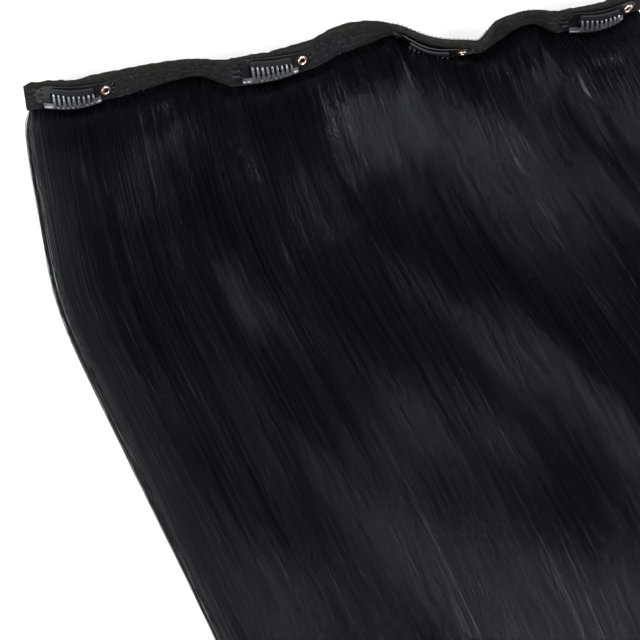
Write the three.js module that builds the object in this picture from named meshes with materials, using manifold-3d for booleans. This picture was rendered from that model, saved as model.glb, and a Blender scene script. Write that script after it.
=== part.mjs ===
// One clip-in hair extension: a wide curtain of straight hair sewn to a folded cloth band
// that carries four snap clips, laid down loosely on a flat surface.
// Millimetres, +Z up. The band runs along X at the back and the hair flows towards -Y.
// The hair lies on z = 0, and the origin is below the middle of the whole piece.

import * as THREE from "three";
import { mergeVertices } from "three/addons/utils/BufferGeometryUtils.js";
import Module from "manifold-3d";

const wasm = await Module();
wasm.setup();

// Driving sizes of the band
const BAND_RUN = 256; // straight distance from end to end
const BAND_HEIGHT = 13.5;
const BAND_THICKNESS = 2.0;
const BAND_WAVE = 16; // how far its waves swing backwards
const BAND_FOOT = 6.4; // height of its lower edge above the surface

// Driving sizes of the hair
const HAIR_LENGTH = 457;
const HAIR_THICKNESS = 8; // of the backing at its fullest
const LOCK_RISE = 4.6; // how far a lock stands out of the backing
const LOCK_COUNT = 18;
const HEAD_THICKNESS = 1.6; // the sewn head of the hair, behind the band
const HEAD_RISE = 7.5; // how far the head reaches up behind the band
const ROOT_THICKNESS = 3.2; // where the hair turns under the band

// Driving sizes of a snap clip
const CLIP_LENGTH = 32;
const CLIP_WIDTH = 10.6; // across its wide end
const CLIP_SHEET = 0.6; // thickness of the sheet metal
const PLATE_LENGTH = 6.2; // the wide end plate
const BAR_WIDTH = 3.2; // the bar under the grip pad
const RIVET_HOLE = 1.6; // radius
const RIVET_BORE = 1.0; // radius
const RIVET_BARREL = 1.3; // radius
const RIVET_FLANGE = 2.15; // radius
const TIP_RADIUS = 3.4; // the round end, about the rivet
const CLIP_RISE = 2.5; // of its toothed edge above the band's lower edge
const SEWING_HOLE = 0.55; // radius
const TOOTH_COUNT = 9;
const TOOTH_WIDTH = 1.15;
const ARCH_RISE = 1.75; // how far the teeth arch over the bar of the comb
const PAD_THICKNESS = 1.0;
const PAD_LENGTH = 17;
const PAD_WIDTH = 3.4;
const OPEN_CLEARANCE = 0.3; // between pieces

// Where the clips are sewn: shares of BAND_RUN and BAND_WAVE, degrees and millimetres.
// slope turns the clip in plan, lean tips it backwards from upright, and bow is how far its
// sprung sheet stands out in the middle.
const CLIPS = [
  { run: 0.08, back: 0.0, slope: 1, lean: 18, bow: 3.8 },
  { run: 0.396, back: 0.0, slope: 7, lean: 24, bow: 2.7 },
  { run: 0.662, back: 0.4, slope: -23, lean: -19, bow: 4.0 },
  { run: 0.924, back: 0.47, slope: 10, lean: 4, bow: 3.4 },
];
const BOW_REACH = 17.6; // from a clip's middle to where its bow ends
const BAND_GIVE = 0.55; // how far the band follows a clip's bow

// The lines across a clip where its sheet bends. Its wide plate and its round tip stay flat.
const BOW_KNOTS = [0, PLATE_LENGTH, 11, CLIP_LENGTH / 2, 21, 25.4, CLIP_LENGTH];

// The band between its clips, in the same shares and degrees.
const BAND_BENDS = [
  { run: 0.0, back: 0.0, lean: 18 },
  { run: 0.19, back: 0.15, lean: 11 },
  { run: 0.24, back: 0.31, lean: 0 },
  { run: 0.282, back: 0.35, lean: -6 },
  { run: 0.312, back: 0.06, lean: 8 },
  { run: 0.505, back: 0.44, lean: 23 },
  { run: 0.56, back: 0.66, lean: 8 },
  { run: 0.76, back: 0.24, lean: 4 },
  { run: 0.785, back: 0.5, lean: -5 },
  { run: 0.822, back: 0.64, lean: -12 },
  { run: 1.0, back: 0.7, lean: -4 },
];

// The band's cross-section: shares of BAND_HEIGHT and of half of BAND_THICKNESS.
const BAND_PROFILE = [
  { up: 0.0, half: 0.6 },
  { up: 0.1, half: 1.0 },
  { up: 0.45, half: 0.85 },
  { up: 0.88, half: 1.0 },
  { up: 1.0, half: 0.5 },
];

// The hair from root to tip: shares of HAIR_LENGTH and HAIR_THICKNESS, and the direction of its
// left and right edges in degrees from -Y towards +X.
const HAIR_FLOW = [
  { along: 0.0, thick: 0.45, left: 0, right: 6 },
  { along: 0.06, thick: 0.75, left: 4, right: 14 },
  { along: 0.15, thick: 1.0, left: 4, right: 19 },
  { along: 0.22, thick: 0.96, left: 15, right: 19 },
  { along: 0.28, thick: 0.93, left: 18, right: 18 },
  { along: 0.45, thick: 0.84, left: 17.5, right: 13 },
  { along: 0.6, thick: 0.74, left: 16, right: 8 },
  { along: 0.75, thick: 0.6, left: 14, right: 4 },
  { along: 0.88, thick: 0.44, left: 12, right: 0 },
  { along: 1.0, thick: 0.2, left: 10, right: -3 },
];

const radians = THREE.MathUtils.degToRad;
const lerp = THREE.MathUtils.lerp;

// Reads column from a table of rows sorted by key, straight between rows.
function tableValue(rows, key, column, at) {
  const next = rows.findIndex((row) => row[key] >= at);
  if (next <= 0) return next === 0 ? rows[0][column] : rows.at(-1)[column];
  const [a, b] = [rows[next - 1], rows[next]];
  return lerp(a[column], b[column], (at - a[key]) / (b[key] - a[key]));
}

// The band's rows in millimetres: its bends, and both ends of each clip, where it is held straight.
function bandRows() {
  const half = CLIP_LENGTH / 2;
  const rows = BAND_BENDS.map((bend) => ({
    x: (bend.run - 0.5) * BAND_RUN,
    y: bend.back * BAND_WAVE,
    lean: bend.lean,
  }));
  for (const clip of CLIPS) {
    const angle = radians(clip.slope);
    for (const end of [-half, half])
      rows.push({
        x: (clip.run - 0.5) * BAND_RUN + end * Math.cos(angle),
        y: clip.back * BAND_WAVE + end * Math.sin(angle),
        lean: clip.lean,
        slope: Math.tan(angle),
        turn: 0,
      });
  }
  rows.sort((a, b) => a.x - b.x);
  rows.forEach((row, i) => {
    const before = rows[Math.max(i - 1, 0)];
    const after = rows[Math.min(i + 1, rows.length - 1)];
    row.slope ??= (after.y - before.y) / (after.x - before.x);
    row.turn ??= (after.lean - before.lean) / (after.x - before.x);
  });
  return rows;
}
const BAND_ROWS = bandRows();

// A cubic between two values with given slopes, and its own slope, at share t of a span.
function cubic(a, slopeA, b, slopeB, span, t) {
  const value =
    a * (2 * t ** 3 - 3 * t ** 2 + 1) +
    slopeA * span * (t ** 3 - 2 * t ** 2 + t) +
    b * (3 * t ** 2 - 2 * t ** 3) +
    slopeB * span * (t ** 3 - t ** 2);
  const slope =
    ((a - b) * (6 * t ** 2 - 6 * t)) / span +
    slopeA * (3 * t ** 2 - 4 * t + 1) +
    slopeB * (3 * t ** 2 - 2 * t);
  return { value, slope };
}

// How far a clip is bowed at u along it, as a share of its bow.
function bowShare(u) {
  const away = (u - CLIP_LENGTH / 2) / BOW_REACH;
  return Math.max(0, 1 - away ** 2) ** 2;
}

// The band's lower edge at x: its place, and the directions along it, up its face and out of it.
function bandAt(x) {
  const last = BAND_ROWS.length - 1;
  const found = BAND_ROWS.findIndex((row) => row.x > x);
  const next = found < 0 ? last : Math.max(found, 1);
  const [a, b] = [BAND_ROWS[next - 1], BAND_ROWS[next]];
  const span = b.x - a.x;
  const t = (x - a.x) / span;
  const path = cubic(a.y, a.slope, b.y, b.slope, span, t);
  const lean = radians(cubic(a.lean, a.turn, b.lean, b.turn, span, t).value);
  const along = new THREE.Vector3(1, path.slope, 0).normalize();
  const behind = new THREE.Vector3(-along.y, along.x, 0);
  const upward = new THREE.Vector3(0, 0, Math.cos(lean)).addScaledVector(
    behind,
    Math.sin(lean),
  );
  const outward = new THREE.Vector3(0, 0, Math.sin(lean)).addScaledVector(
    behind,
    -Math.cos(lean),
  );
  const foot = new THREE.Vector3(x, path.value, BAND_FOOT);
  for (const clip of CLIPS) {
    const off = x - (clip.run - 0.5) * BAND_RUN;
    const u = CLIP_LENGTH / 2 + off / Math.cos(radians(clip.slope));
    foot.addScaledVector(outward, clip.bow * BAND_GIVE * bowShare(u));
  }
  return { foot, along, behind, upward, outward };
}

// A closed geometry through rings of points, each ring with the same count. Each end is closed
// by a strip between the ring's first and second halves, so a long and bent ring closes too.
function loft(rings) {
  const size = rings[0].length;
  const points = rings.flat();
  const triangles = [];
  for (let r = 0; r + 1 < rings.length; r++)
    for (let i = 0; i < size; i++) {
      const [a, b] = [r * size + i, r * size + ((i + 1) % size)];
      triangles.push(a, b, a + size, b, b + size, a + size);
    }
  const end = (rings.length - 1) * size;
  const close = (a, b, c) => triangles.push(a, c, b, end + a, end + b, end + c);
  for (let [i, j] = [0, size - 1]; j - i > 1; i++, j--) {
    close(i, i + 1, j);
    if (j - i > 2) close(i + 1, j - 1, j);
  }
  return new THREE.BufferGeometry().setFromPoints(points).setIndex(triangles);
}

// A geometry as a solid that can be joined and cut, turned to face out.
function solid(geometry) {
  const bare = geometry.clone();
  for (const name of ["normal", "uv"]) bare.deleteAttribute(name);
  const merged = mergeVertices(bare, 1e-4);
  const vertProperties = new Float32Array(merged.getAttribute("position").array);
  const make = (triVerts) =>
    new wasm.Manifold(new wasm.Mesh({ numProp: 3, vertProperties, triVerts }));
  const triVerts = new Uint32Array(merged.index.array);
  const made = make(triVerts);
  return made.volume() > 0 ? made : make(triVerts.reverse());
}

function geometryOf(made) {
  const mesh = made.getMesh();
  return new THREE.BufferGeometry()
    .setAttribute(
      "position",
      new THREE.BufferAttribute(new Float32Array(mesh.vertProperties), 3),
    )
    .setIndex(new THREE.BufferAttribute(new Uint32Array(mesh.triVerts), 1));
}

// Materials
const finish = (color, roughness, metalness = 0) =>
  new THREE.MeshStandardMaterial({ color, roughness, metalness });
const HAIR_BLACK = finish(0x0d0c10, 0.38);
const CLOTH_BLACK = finish(0x131312, 0.85);
const CLIP_BLACK = finish(0x161616, 0.35, 0.6);
const RIVET_STEEL = finish(0xb8a8a0, 0.3, 1.0);
const PAD_GREY = finish(0x4a4a4e, 0.45);

const piece = new THREE.Group();
piece.name = "clip_in_hair_extension";

function addPiece(name, geometry, material, parent = piece) {
  const mesh = new THREE.Mesh(geometry, material);
  mesh.name = name;
  parent.add(mesh);
}

// The folded cloth band. It and the hair share their stations, so the two never cross.
const BEND_STEP = 5.8; // between stations in the bends; behind a clip they are its own knots

function bandStations() {
  const stations = [BAND_ROWS[0].x];
  for (let i = 0; i + 1 < BAND_ROWS.length; i++) {
    const [from, to] = [BAND_ROWS[i], BAND_ROWS[i + 1]];
    const clipped = from.turn === 0 && to.turn === 0 && from.lean === to.lean;
    const count = Math.ceil((to.x - from.x) / BEND_STEP);
    const even = Array.from({ length: count }, (_, k) => (k + 1) / count);
    const shares = clipped ? BOW_KNOTS.slice(1).map((u) => u / CLIP_LENGTH) : even;
    for (const share of shares) stations.push(lerp(from.x, to.x, share));
  }
  return stations;
}
const STATIONS = bandStations();

function bandGeometry() {
  const rings = [];
  for (const x of STATIONS) {
    const { foot, upward, outward } = bandAt(x);
    const side = (sign, row) =>
      foot
        .clone()
        .addScaledVector(upward, row.up * BAND_HEIGHT)
        .addScaledVector(outward, (sign * row.half * BAND_THICKNESS) / 2);
    const front = BAND_PROFILE.map((row) => side(1, row));
    const back = BAND_PROFILE.map((row) => side(-1, row)).reverse();
    rings.push([...front, ...back]);
  }
  return loft(rings);
}
addPiece("weft_band", geometryOf(solid(bandGeometry())), CLOTH_BLACK);

// The hair. A strand's place in plan comes from walking along its own direction, which leaves
// the band squarely and soon turns into the flow of the whole curtain.
const FLOW_STEP = HAIR_LENGTH / 96;
const ROOT_TURN = 2; // how soon the band's own direction is lost
const EDGE_INSET = 1.5; // between the band's end and the outermost hair

function strandWalk(share) {
  const reach = BAND_RUN / 2 - EDGE_INSET;
  const root = bandAt(THREE.MathUtils.clamp((share - 0.5) * BAND_RUN, -reach, reach));
  const square = Math.atan2(root.along.y, root.along.x);
  const places = [new THREE.Vector3(root.foot.x, root.foot.y, 0)];
  for (let walked = 0; walked < HAIR_LENGTH; walked += FLOW_STEP) {
    const at = walked / HAIR_LENGTH;
    const sweep = lerp(
      tableValue(HAIR_FLOW, "along", "left", at),
      tableValue(HAIR_FLOW, "along", "right", at),
      share,
    );
    const angle = radians(sweep) + square * Math.exp(-walked / ROOT_TURN);
    const step = new THREE.Vector3(Math.sin(angle), -Math.cos(angle), 0);
    places.push(places.at(-1).clone().addScaledVector(step, FLOW_STEP));
  }
  return { root, places };
}

// The place in plan at a distance from the root along a walked strand.
function placeAt(walk, distance) {
  const at = Math.min(distance / FLOW_STEP, walk.places.length - 1.001);
  const i = Math.floor(at);
  return walk.places[i].clone().lerp(walk.places[i + 1], at - i);
}

// How far the tips of the hair reach, lock by lock, as shares of HAIR_LENGTH.
const TIP_REACH = [0.93, 0.99, 0.95, 1.0, 0.96, 0.98];
const reachOf = (lock) => TIP_REACH[lock % TIP_REACH.length];

const backingThickness = (at) =>
  tableValue(HAIR_FLOW, "along", "thick", at) * HAIR_THICKNESS;

// The backing behind and under the band, then along the surface: rows of a top and a bottom point.
const HEAD_CLEARANCE = 0.5;
const HEAD_START = 0.6; // the height above the band's lower edge where the head begins
const HEAD_OFFSET = BAND_THICKNESS / 2 + HEAD_CLEARANCE + HEAD_THICKNESS / 2;
const TURN_DROP = ROOT_THICKNESS * 0.85; // height of the hair's middle where it turns
const TURN_BACK = 1.7; // how far behind the band's edge it turns
const TURN_TILT = radians(50);
const BACKING_REACH = 0.86; // share of the hair's length that the backing covers
const FLOOR_STATIONS = [0.02, 0.055, 0.11, 0.18, 0.27, 0.38, 0.52, 0.7, BACKING_REACH];

function backingColumn(share) {
  const walk = strandWalk(share);
  const { foot, upward, outward, behind } = walk.root;
  const onHead = (rise) => {
    const middle = foot
      .clone()
      .addScaledVector(upward, rise)
      .addScaledVector(outward, -HEAD_OFFSET);
    return [
      middle.clone().addScaledVector(outward, HEAD_THICKNESS / 2),
      middle.clone().addScaledVector(outward, -HEAD_THICKNESS / 2),
    ];
  };
  const turn = foot.clone().addScaledVector(behind, TURN_BACK).setZ(TURN_DROP);
  const turnNormal = new THREE.Vector3(0, 0, Math.sin(TURN_TILT)).addScaledVector(
    behind,
    -Math.cos(TURN_TILT),
  );
  const rows = [
    onHead(HEAD_RISE),
    onHead(HEAD_START),
    [
      turn.clone().addScaledVector(turnNormal, ROOT_THICKNESS / 2),
      turn.clone().addScaledVector(turnNormal, -ROOT_THICKNESS / 2),
    ],
  ];
  for (const at of FLOOR_STATIONS) {
    const place = placeAt(walk, at * HAIR_LENGTH);
    rows.push([place.clone().setZ(backingThickness(at)), place.clone().setZ(0)]);
  }
  return rows;
}

function backingGeometry() {
  const rings = [];
  for (const x of STATIONS) {
    const rows = backingColumn(x / BAND_RUN + 0.5);
    rings.push([...rows.map((row) => row[0]), ...rows.map((row) => row[1]).reverse()]);
  }
  return loft(rings);
}

// One lock: a ridge along the hair that rises out of the backing and closes to a point.
const LOCK_OVERLAP = 1.25; // a lock's width in pitches
const LOCK_STATIONS = [0.018, 0.07, 0.14, 0.24, 0.37, 0.52, 0.68, 0.84, 1.0];
const LOCK_ROOT = 0.12; // share of its length over which a lock rises
const LOCK_CLOSING = 0.62; // share of its length where it starts to close
const LOCK_SINK = 0.5; // a lock's underside at its fullest, as a share of the backing
const LOCK_TIP = 0.7; // height of a lock's point
const LOCK_POINT = 0.06; // width of a lock's point, as a share of its full width
const LOCK_INSET = 0.014; // share of the width that the outer locks keep inside the backing
const SHOULDER_WIDTH = 0.62; // where a lock's flat top turns down, as a share of its half width
const SHOULDER_RISE = 0.72; // and its height, as a share of the lock's own

function lockGeometry(lock) {
  const middle = (lock + 0.5) / LOCK_COUNT;
  const half = LOCK_OVERLAP / LOCK_COUNT / 2;
  const edges = [middle - half, middle, middle + half].map((share) =>
    strandWalk(THREE.MathUtils.clamp(share, LOCK_INSET, 1 - LOCK_INSET)),
  );
  const fullness = 0.75 + 0.25 * Math.cos(lock * 2.4);
  const rings = LOCK_STATIONS.map((station) => {
    const at = station * reachOf(lock);
    const [left, ridge, right] = edges.map((walk) => placeAt(walk, at * HAIR_LENGTH));
    const closed = Math.max(0, station - LOCK_CLOSING) / (1 - LOCK_CLOSING);
    const open = Math.sqrt(1 - closed ** 2);
    const width = Math.max(open, LOCK_POINT);
    const base = backingThickness(at);
    const rising = LOCK_RISE * fullness * Math.min(1, station / LOCK_ROOT) * open;
    const top = Math.max(base * 0.9 + rising, LOCK_TIP);
    const low = Math.min(base * LOCK_SINK, top / 2);
    const shoulder = lerp(low, top, SHOULDER_RISE);
    const corner = (side, share, z) => ridge.clone().lerp(side, share * width).setZ(z);
    return [
      corner(left, 1, low),
      corner(right, 1, low),
      corner(right, SHOULDER_WIDTH, shoulder),
      corner(ridge, 1, top),
      corner(left, SHOULDER_WIDTH, shoulder),
    ];
  });
  return loft(rings);
}

function hairGeometry() {
  let hair = solid(backingGeometry());
  for (let lock = 0; lock < LOCK_COUNT; lock++) hair = hair.add(solid(lockGeometry(lock)));
  return geometryOf(hair);
}
addPiece("hair", hairGeometry(), HAIR_BLACK);

// A snap clip in its own frame: u along it from its wide end, v across it from its toothed edge,
// w out of the band. The frame, comb, rivet and pad are stacked with a clearance between them.
const CURVE_SEGMENTS = 4;
const FRAME_BACK = OPEN_CLEARANCE;
const FRAME_FACE = FRAME_BACK + CLIP_SHEET;
const COMB_BACK = FRAME_FACE + OPEN_CLEARANCE;
const PAD_FACE = COMB_BACK + PAD_THICKNESS;
const RIVET_U = CLIP_LENGTH - TIP_RADIUS;
const RIVET_V = TIP_RADIUS + 0.8;
const BAR_DROP = 2.9; // how far the bar falls towards the rivet
const BAR_START_V = CLIP_WIDTH - 0.5 - BAR_WIDTH;
const BAR_END_V = BAR_START_V - BAR_DROP + 0.4;
const WINDOW_END = CLIP_LENGTH - 2 * TIP_RADIUS - 0.9;
const LUG_LENGTH = 3.2; // of the comb, on the plate and on the tip

// How far a bowed clip stands at u out of the plane that touches the band at the clip's middle,
// straight between its knots. Its ends lie on the band.
function bowAt(u, bow) {
  const next = Math.max(1, BOW_KNOTS.findIndex((knot) => knot >= u));
  const [a, b] = [BOW_KNOTS[next - 1], BOW_KNOTS[next]];
  return bow * (lerp(bowShare(a), bowShare(b), (u - a) / (b - a)) - BAND_GIVE);
}

// Bends a small geometry, each of its points by itself.
function bowed(geometry, bow) {
  const place = geometry.getAttribute("position");
  for (let i = 0; i < place.count; i++)
    place.setZ(i, place.getZ(i) + bowAt(place.getX(i), bow));
  return geometry;
}

// A bowed sheet with an outline given in u and v, from one w to another: the outline's column,
// cut by the sheet as it looks from the side.
function bowedSheet(outline, from, to, bow, curveSegments) {
  const side = new THREE.Shape();
  const line = (knots, w) => knots.map((u) => new THREE.Vector2(u, w + bowAt(u, bow)));
  side.setFromPoints([...line(BOW_KNOTS, from), ...line(BOW_KNOTS.toReversed(), to)]);
  const sheet = new THREE.ExtrudeGeometry(side, { depth: CLIP_LENGTH, bevelEnabled: false })
    .rotateX(Math.PI / 2)
    .translate(0, CLIP_LENGTH * 0.75, 0);
  const column = new THREE.ExtrudeGeometry(outline, {
    depth: CLIP_LENGTH,
    bevelEnabled: false,
    curveSegments,
  }).translate(0, 0, -CLIP_LENGTH / 2);
  return geometryOf(solid(column).intersect(solid(sheet)));
}

function frameGeometry(bow) {
  const corner = CLIP_WIDTH * 0.3;
  const outline = new THREE.Shape();
  outline.moveTo(corner * 0.6, 0.3);
  outline.lineTo(PLATE_LENGTH, 0.3);
  outline.lineTo(PLATE_LENGTH, BAR_START_V);
  outline.lineTo(WINDOW_END, BAR_END_V);
  outline.lineTo(WINDOW_END, RIVET_V - TIP_RADIUS);
  outline.lineTo(RIVET_U, RIVET_V - TIP_RADIUS);
  outline.absarc(RIVET_U, RIVET_V, TIP_RADIUS, -Math.PI / 2, Math.PI / 2.4, false);
  outline.quadraticCurveTo(
    CLIP_LENGTH * 0.55,
    CLIP_WIDTH * 1.02,
    corner * 1.6,
    CLIP_WIDTH,
  );
  outline.quadraticCurveTo(0.4, CLIP_WIDTH * 0.94, 0, CLIP_WIDTH * 0.56);
  outline.quadraticCurveTo(0.1, CLIP_WIDTH * 0.12, corner * 0.6, 0.3);
  const hole = (u, v, radius) => {
    const path = new THREE.Path();
    path.absarc(u, v, radius, 0, 2 * Math.PI, true);
    outline.holes.push(path);
  };
  hole(RIVET_U, RIVET_V, RIVET_HOLE);
  for (const v of [0.3, 0.55, 0.8]) hole(PLATE_LENGTH * 0.42, CLIP_WIDTH * v, SEWING_HOLE);
  return bowedSheet(outline, FRAME_BACK, FRAME_FACE, bow, CURVE_SEGMENTS);
}

// The comb's section, as v and w points: a flat strip that turns up at the clip's toothed edge.
const COMB_STRIP = 2.3; // width of the flat strip
const TURN_RISE = 0.95; // height of the turned-up edge below the teeth
const COMB_SECTION = [
  [COMB_STRIP, 0],
  [COMB_STRIP, CLIP_SHEET],
  [CLIP_SHEET + 0.25, CLIP_SHEET],
  [CLIP_SHEET, TURN_RISE],
  [0, TURN_RISE],
  [0.1, 0.3],
  [0.5, 0],
];

function stripGeometry(from, to, bow) {
  const stations = [from, ...BOW_KNOTS.filter((u) => u > from && u < to), to];
  return loft(
    stations.map((u) =>
      COMB_SECTION.map(([v, w]) => new THREE.Vector3(u, v, COMB_BACK + w + bowAt(u, bow))),
    ),
  );
}

// One tooth's outline: from the turned-up edge, over in an arch, and down onto the pad.
function toothOutline(reach) {
  const low = COMB_BACK + CLIP_SHEET;
  const top = COMB_BACK + CLIP_SHEET + ARCH_RISE;
  const tip = PAD_FACE + OPEN_CLEARANCE;
  const outline = new THREE.Shape();
  outline.moveTo(0, low);
  outline.bezierCurveTo(-0.3, top - 0.3, 1.2, top, reach * 0.45, top);
  outline.quadraticCurveTo(reach * 0.8, top, reach, tip + CLIP_SHEET * 0.8);
  outline.lineTo(reach - 0.1, tip);
  outline.quadraticCurveTo(reach * 0.8, top - CLIP_SHEET, reach * 0.45, top - CLIP_SHEET);
  outline.bezierCurveTo(1.4, top - CLIP_SHEET, CLIP_SHEET, top - 0.9, CLIP_SHEET, low);
  return outline;
}

// Extrudes an outline given in v and w along u, from one u to another.
function alongClip(outline, from, to) {
  const made = new THREE.ExtrudeGeometry(outline, {
    depth: to - from,
    bevelEnabled: false,
    curveSegments: CURVE_SEGMENTS / 2,
  });
  const turn = new THREE.Matrix4().makeBasis(
    new THREE.Vector3(0, 1, 0),
    new THREE.Vector3(0, 0, 1),
    new THREE.Vector3(1, 0, 0),
  );
  return made.applyMatrix4(turn.setPosition(from, 0, 0));
}

const TEETH_START = PLATE_LENGTH + 0.7;
const TEETH_END = WINDOW_END - 0.4;

function combGeometry(bow) {
  const start = PLATE_LENGTH - LUG_LENGTH;
  const end = RIVET_U - RIVET_FLANGE - OPEN_CLEARANCE;
  let comb = solid(stripGeometry(start, end, bow));
  const pitch = (TEETH_END - TEETH_START - TOOTH_WIDTH) / (TOOTH_COUNT - 1);
  for (let tooth = 0; tooth < TOOTH_COUNT; tooth++) {
    const from = TEETH_START + tooth * pitch;
    const barV = lerp(BAR_START_V, BAR_END_V, tooth / (TOOTH_COUNT - 1));
    const outline = toothOutline(barV + PAD_WIDTH * 0.36);
    comb = comb.add(solid(bowed(alongClip(outline, from, from + TOOTH_WIDTH), bow)));
  }
  return geometryOf(comb);
}

const RIVET_SIDES = 12;

function rivetGeometry() {
  const under = COMB_BACK - 0.1;
  const top = under + 0.75;
  const profile = [
    [RIVET_BORE, FRAME_BACK],
    [RIVET_BARREL, FRAME_BACK],
    [RIVET_BARREL, under],
    [RIVET_FLANGE, under],
    [RIVET_FLANGE, under + 0.25],
    [lerp(RIVET_BORE, RIVET_FLANGE, 0.6), top],
    [RIVET_BORE, top - 0.25],
    [RIVET_BORE, FRAME_BACK],
  ].map(([radius, w]) => new THREE.Vector2(radius, w));
  return new THREE.LatheGeometry(profile, RIVET_SIDES)
    .rotateX(Math.PI / 2)
    .translate(RIVET_U, RIVET_V, 0);
}

// The grip pad lies along the bar, with round ends.
function padGeometry(bow) {
  const half = PAD_WIDTH / 2;
  const corner = PAD_WIDTH * 0.35;
  const outline = new THREE.Shape();
  outline.moveTo(corner, -half);
  outline.lineTo(PAD_LENGTH - corner, -half);
  outline.quadraticCurveTo(PAD_LENGTH, -half, PAD_LENGTH, -half + corner);
  outline.lineTo(PAD_LENGTH, half - corner);
  outline.quadraticCurveTo(PAD_LENGTH, half, PAD_LENGTH - corner, half);
  outline.lineTo(corner, half);
  outline.quadraticCurveTo(0, half, 0, half - corner);
  outline.lineTo(0, -half + corner);
  outline.quadraticCurveTo(0, -half, corner, -half);
  const fall = Math.atan2(BAR_END_V - BAR_START_V, WINDOW_END - PLATE_LENGTH);
  const start = new THREE.Vector2(PLATE_LENGTH + 0.8, BAR_START_V + half);
  const onBar = (point) => point.rotateAround(new THREE.Vector2(), fall).add(start);
  const points = outline.getPoints(2).slice(0, -1).map(onBar);
  return bowedSheet(new THREE.Shape(points), COMB_BACK, PAD_FACE, bow, 1);
}

// A clip's group stands on the band's outer face, with its middle at the clip's place.
function addClip(number, place) {
  const { foot, along, upward, outward } = bandAt((place.run - 0.5) * BAND_RUN);
  const group = new THREE.Group();
  group.name = `clip_${number}`;
  const origin = foot
    .clone()
    .addScaledVector(along, -CLIP_LENGTH / 2)
    .addScaledVector(upward, CLIP_RISE)
    .addScaledVector(outward, BAND_THICKNESS / 2);
  group.applyMatrix4(
    new THREE.Matrix4().makeBasis(along, upward, outward).setPosition(origin),
  );
  const { bow } = place;
  addPiece(`clip_${number}_frame`, frameGeometry(bow), CLIP_BLACK, group);
  addPiece(`clip_${number}_comb`, combGeometry(bow), CLIP_BLACK, group);
  addPiece(`clip_${number}_rivet`, bowed(rivetGeometry(), bow), RIVET_STEEL, group);
  addPiece(`clip_${number}_pad`, padGeometry(bow), PAD_GREY, group);
  piece.add(group);
}
CLIPS.forEach((place, i) => addClip(i + 1, place));

// The origin goes below the middle of the whole piece, on the surface.
const box = new THREE.Box3().setFromObject(piece, true);
const middle = box.getCenter(new THREE.Vector3());
piece.position.set(-middle.x, -middle.y, -box.min.z);

export default piece;
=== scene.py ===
"""A clip-in hair extension: a curtain of straight black hair sewn to a folded cloth band with
four snap clips, laid down on a white surface. Sizes are in millimetres until a mesh is set down."""

import math

import bmesh
import bpy
import numpy as np
from mathutils import Matrix, Vector


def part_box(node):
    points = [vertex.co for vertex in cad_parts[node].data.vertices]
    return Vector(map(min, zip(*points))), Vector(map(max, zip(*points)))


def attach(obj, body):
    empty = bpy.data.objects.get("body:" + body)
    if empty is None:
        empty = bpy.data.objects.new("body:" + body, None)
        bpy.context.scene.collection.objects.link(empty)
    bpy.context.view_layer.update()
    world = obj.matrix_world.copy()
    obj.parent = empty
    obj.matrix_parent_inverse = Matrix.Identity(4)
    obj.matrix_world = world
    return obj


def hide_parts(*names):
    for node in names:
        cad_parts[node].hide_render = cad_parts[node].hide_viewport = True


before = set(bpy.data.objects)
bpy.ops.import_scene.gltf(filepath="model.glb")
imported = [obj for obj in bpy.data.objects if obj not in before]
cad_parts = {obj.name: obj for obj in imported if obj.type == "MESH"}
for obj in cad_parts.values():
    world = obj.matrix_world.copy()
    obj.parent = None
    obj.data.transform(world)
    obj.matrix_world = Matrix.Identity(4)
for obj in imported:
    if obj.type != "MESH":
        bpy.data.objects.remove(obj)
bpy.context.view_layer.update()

# The band, as the solid has it
BAND_RUN = 256
BAND_HEIGHT = 13.5
BAND_THICKNESS = 2.0
BAND_WAVE = 16
BAND_FOOT = 6.4

# The hair
HAIR_LENGTH = 457
LOCK_COUNT = 18
HEAD_RISE = 7.5
HEAD_FRONT = 1.5  # from the band's middle to the near face of the hair's sewn head
HEAD_BACK = 3.1
EDGE_INSET = 1.5
ROOT_TURN = 2
ROOT_HEIGHT = 5.0  # of the hair where it comes out from under the band
ROOT_PRESSED = 9  # how far from the band it is full
EDGE_ROUND = 7  # how far in from its sides the laid hair is rounded
TIP_START = 0.62  # share of the length from which its relief dies away
BODY_END = 0.84  # share of the length that the mass under the strands has
BODY_SUNK = 0.25

# A snap clip
CLIP_LENGTH = 32
CLIP_WIDTH = 10.6
CLIP_SHEET = 0.6
CLIP_RISE = 2.5
PLATE_LENGTH = 6.2
BAR_WIDTH = 3.2
TIP_RADIUS = 3.4
RIVET_HOLE = 1.6
SEWING_HOLE = 0.55
RIVET_U = CLIP_LENGTH - TIP_RADIUS
RIVET_V = TIP_RADIUS + 0.8
BAR_START_V = CLIP_WIDTH - 0.5 - BAR_WIDTH
BAR_END_V = BAR_START_V - 2.5
WINDOW_END = CLIP_LENGTH - 2 * TIP_RADIUS - 0.9
FRAME_BACK = 0.3
FRAME_FACE = FRAME_BACK + CLIP_SHEET
COMB_BACK = FRAME_FACE + 0.3
PAD_LENGTH = 17
PAD_WIDTH = 3.4
PAD_THICKNESS = 1.0
TEETH = 9
TOOTH_WIDTH = 1.15

# Where the clips are sewn: share of the run, share of the wave, slope in plan and lean in degrees,
# and how far the clip's sprung sheet stands out in its middle
CLIPS = [
    (0.08, 0.0, 1, 18, 3.8), (0.396, 0.0, 7, 24, 2.7), (0.662, 0.4, -23, -19, 4.0),
    (0.924, 0.47, 10, 4, 3.4),
]
BOW_REACH = 17.6  # from a clip's middle to where its bow ends
TIP_STRAIGHT = 25.4  # how far along a clip its straight tip begins
BAND_GIVE = 0.55  # how far the band follows a clip's bow

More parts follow.
